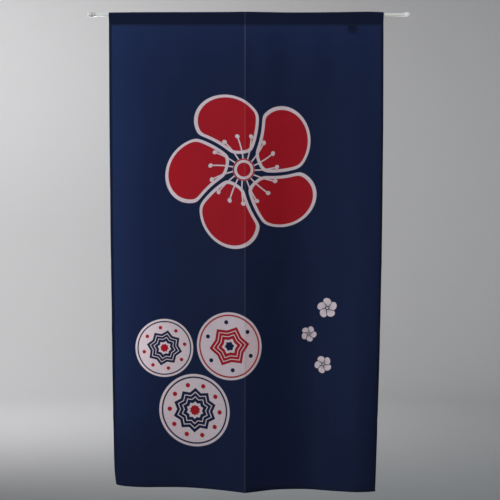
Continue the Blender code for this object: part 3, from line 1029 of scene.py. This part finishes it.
class NOREN_OT_label(bpy.types.Operator):
    """Add the blank label, a folded tape that hangs behind the cloth from the pocket's seam"""

    bl_idname = "noren.label"
    bl_label = "Add the label"

    def execute(self, context):
        height = LABEL_HIGH[2] - LABEL_LOW[2]
        depth = 0.6 * MM
        turns = np.linspace(0, math.pi, 9)
        straight = np.linspace(0, height - depth / 2, 12)
        down = np.concatenate([straight, straight[-1] + depth / 2 * np.sin(turns[1:-1]), straight[::-1]])
        ply = -np.cos(turns[1:-1])
        back = depth / 2 * (1 + np.concatenate([-np.ones(12), ply, np.ones(12)]))
        x = np.linspace(LABEL_LOW[0], LABEL_HIGH[0], 13)
        across, below = np.meshgrid(x - CREASE_X, down)
        top = SEAM_Z - LABEL_HIGH[2]
        y = 1.1 * MM - main_forward(across, below + top) + back[:, None]
        points = np.stack([across + CREASE_X, y, LABEL_HIGH[2] - below], axis=-1)
        tape = plain_material("blank satin tape", (0.72, 0.72, 0.70), 0.45, satin_tape, sheen=0.2)
        flat = np.stack([across, np.repeat(np.arange(len(down))[:, None], len(x), 1) * MM], axis=-1)
        piece = add_piece("label_tape", points, grid_faces(*points.shape[:2]), tape, flat)
        wall = piece.modifiers.new("thickness", "SOLIDIFY")
        wall.thickness = 0.15 * MM
        wall.offset = 0.0
        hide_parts("care_label")
        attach(piece, BODY)
        return {"FINISHED"}


class NOREN_OT_rod(bpy.types.Operator):
    """Add the enamelled tube and its two plastic caps"""

    bl_idname = "noren.rod"
    bl_label = "Add the rod"

    def execute(self, context):
        rod = context.scene.noren_rod
        enamel = plain_material("white enamel", tuple(rod.enamel), 0.30, handled(0.05, 0.03 * MM), coat=0.3)
        plastic = plain_material("white plastic", tuple(rod.plastic), 0.42, handled(0.012, 0.05 * MM))
        end, wall = ROD_HIGH[0], rod.tube_wall
        chamfer = 0.2 * MM
        inner = ROD_RADIUS - wall
        profile = [
            (-end, ROD_RADIUS - chamfer),
            (-end + chamfer, ROD_RADIUS),
            *[(place, ROD_RADIUS) for place in np.linspace(-end, end, 41)[1:-1]],
            (end - chamfer, ROD_RADIUS),
            (end, ROD_RADIUS - chamfer),
            (end, inner),
            (-end, inner),
        ]
        tube = turned_piece("rod_tube", profile, rod.sides, enamel)
        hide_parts("rod")
        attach(tube, BODY)

        outer, tip, rim = CAP_HIGH[2], CAP_HIGH[0], CAP_LOW[0]
        socket = ROD_RADIUS + 0.3 * MM
        pole = 0.3 * MM
        rounding = rod.cap_rounding
        lip = 0.3 * MM
        groove = rim + 3 * MM
        profile = [
            (tip - rod.cap_end, pole),
            (tip - rod.cap_end, socket),
            (rim + lip, socket),
            (rim, socket + lip),
            (rim, outer - lip),
            (rim + lip, outer),
            (groove, outer),
            (groove + 0.25 * MM, outer - 0.25 * MM),
            (groove + 0.5 * MM, outer),
            *rounded((tip - rounding, outer - rounding), rounding, math.pi / 2, 0, 7),
            (tip, pole),
        ]
        for name, node, mirrored in (
            ("left_end_cap", "rod_cap_left", True),
            ("right_end_cap", "rod_cap_right", False),
        ):
            cap = turned_piece(name, profile, rod.sides, plastic, mirrored)
            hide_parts(node)
            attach(cap, BODY)
        return {"FINISHED"}


class NOREN_OT_studio(bpy.types.Operator):
    """Set out the pale floor with its backdrop, the lights and the camera"""

    bl_idname = "noren.studio"
    bl_label = "Set out the studio"

    def execute(self, context):
        studio = context.scene.noren_studio
        cove = 1.6
        far = studio.wall_distance
        floor = [(r, studio.floor_z) for r in (0.01, 1, 2, 3, 4, 5, far - cove)]
        turns = np.linspace(-math.pi / 2, 0, 13)[1:]
        bend = [(far - cove + cove * math.cos(a), studio.floor_z + cove * (1 + math.sin(a))) for a in turns]
        rise = [(far, studio.floor_z + cove + h) for h in (1, 2, 3, 4)]
        profile = np.array(floor + bend + rise)
        sides = 96
        angles = np.arange(sides + 1) * math.tau / sides
        radius = profile[:, :1]
        z = np.repeat(profile[:, 1:], sides + 1, axis=1)
        points = np.stack([radius * np.cos(angles), radius * np.sin(angles), z], axis=-1)
        paint = plain_material("backdrop paint", tuple(studio.shade), 0.8, rolled_paint)
        add_piece("backdrop", points, grid_faces(*points.shape[:2])[:, ::-1], paint)

        lights = (
            Light("key", (-4.6, -1.9, 1.5), (0, 0, 0.8), (1.8, 2.2), 80, studio.key_power, COOL),
            Light("fill", (1.6, -4.5, -1.2), (0, 0, -0.9), (3.0, 1.6), 180, studio.fill_power, WARM),
            Light("above", (0, 0.08, 0.06), (0, 0.02, -0.3), (0.86, 0.02), 180, studio.above_power, WHITE),
            Light("left", (-0.50, 0.12, -0.62), (-0.2, 0, -0.62), (0.03, 1.3), 180, studio.left_power, WHITE),
            Light("right", (0.49, 0.12, -0.62), (0.2, 0, -0.62), (0.03, 1.3), 180, studio.right_power, WHITE),
            Light("wash", (-2.2, 3.6, 1.6), (-2.0, 8, -0.6), (2.4, 1.6), 180, studio.wash_power, WHITE),
        )
        for light in lights:
            lamp = bpy.data.lights.new(light.name, "AREA")
            lamp.shape = "RECTANGLE"
            lamp.size, lamp.size_y = light.size
            lamp.spread = math.radians(light.spread)
            lamp.energy = light.power
            lamp.color = light.colour
            holder = bpy.data.objects.new(light.name, lamp)
            aim = Vector(light.target) - Vector(light.place)
            holder.location = light.place
            holder.rotation_euler = aim.to_track_quat("-Z", "Y").to_euler()
            holder.visible_camera = False
            context.scene.collection.objects.link(holder)
        world = bpy.data.worlds.new("sky")
        world.use_nodes = True
        sky = world.node_tree.nodes["Background"]
        sky.inputs["Color"].default_value = (0.92, 0.95, 1.0, 1.0)
        sky.inputs["Strength"].default_value = studio.sky
        context.scene.world = world

        camera = bpy.data.cameras.new("camera")
        camera.sensor_width = 36.0
        camera.lens = 81.4
        holder = bpy.data.objects.new("camera", camera)
        holder.location = (2.8 * MM, -studio.camera_distance, -0.7284)
        holder.rotation_euler = (math.pi / 2, 0.0, 0.0)
        context.scene.collection.objects.link(holder)
        context.scene.camera = holder
        context.scene.view_settings.view_transform = "Standard"
        return {"FINISHED"}


class NOREN_PT_pieces(bpy.types.Panel):
    """Lists the pieces and their settings"""

    bl_idname = "NOREN_PT_pieces"
    bl_label = "Noren"
    bl_space_type = "VIEW_3D"
    bl_region_type = "UI"
    bl_category = "Noren"

    def draw(self, context):
        for operator, group in PANEL_ROWS:
            self.layout.operator(operator.bl_idname)
            if group:
                settings = getattr(context.scene, group)
                for name in settings.__annotations__:
                    self.layout.prop(settings, name)


SETTINGS = {
    "noren_cloth": ClothSettings,
    "noren_stitch": StitchSettings,
    "noren_rod": RodSettings,
    "noren_studio": StudioSettings,
}
PANEL_ROWS = (
    (NOREN_OT_rod, "noren_rod"),
    (NOREN_OT_stitching, "noren_stitch"),
    (NOREN_OT_cloth, "noren_cloth"),
    (NOREN_OT_label, None),
    (NOREN_OT_studio, "noren_studio"),
)


def register():
    """Registers the classes and puts the settings on the scene."""
    for name, group in SETTINGS.items():
        bpy.utils.register_class(group)
        setattr(bpy.types.Scene, name, PointerProperty(type=group))
    for operator, _ in PANEL_ROWS:
        bpy.utils.register_class(operator)
    bpy.utils.register_class(NOREN_PT_pieces)


def unregister():
    """Takes back what register does."""
    bpy.utils.unregister_class(NOREN_PT_pieces)
    for operator, _ in reversed(PANEL_ROWS):
        bpy.utils.unregister_class(operator)
    for name, group in SETTINGS.items():
        delattr(bpy.types.Scene, name)
        bpy.utils.unregister_class(group)


def main():
    """Builds every piece."""
    register()
    bpy.ops.noren.rod()
    bpy.ops.noren.stitching()
    bpy.ops.noren.cloth()
    bpy.ops.noren.label()
    bpy.ops.noren.studio()
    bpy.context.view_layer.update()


if __name__ == "__main__":
    main()
